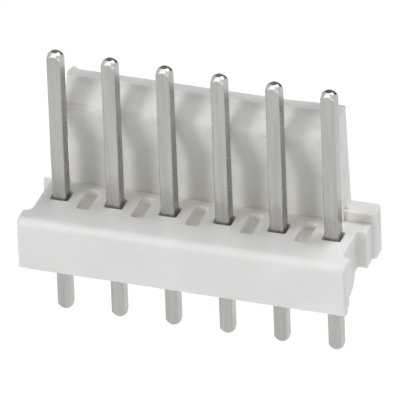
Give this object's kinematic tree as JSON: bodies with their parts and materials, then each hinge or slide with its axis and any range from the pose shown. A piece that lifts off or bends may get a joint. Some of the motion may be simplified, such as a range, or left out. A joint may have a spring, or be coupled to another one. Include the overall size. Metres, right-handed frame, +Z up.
{
  "type": "pin header",
  "caption": "Upright board pin header with a single row of square posts through a low bar and a tall friction wall behind them.",
  "frame": {"origin": "on the board surface that the header stands on, in the middle of the row of posts", "axes": "+X along the row of posts, towards the end with the raised block beside the wall; +Y from the posts back to the friction wall; +Z up along the mating posts, away from the board"},
  "size_m": [0.0155, 0.0048, 0.0133],
  "materials": {
    "nylon": "satin natural nylon, slightly translucent",
    "tinned_metal": "satin tin plate over a copper alloy"
  },
  "bodies": {
    "root": {"housing": "nylon", "post_1": "tinned_metal", "post_2": "tinned_metal", "post_3": "tinned_metal", "post_4": "tinned_metal", "post_5": "tinned_metal", "post_6": "tinned_metal"}
  },
  "joints": []
}
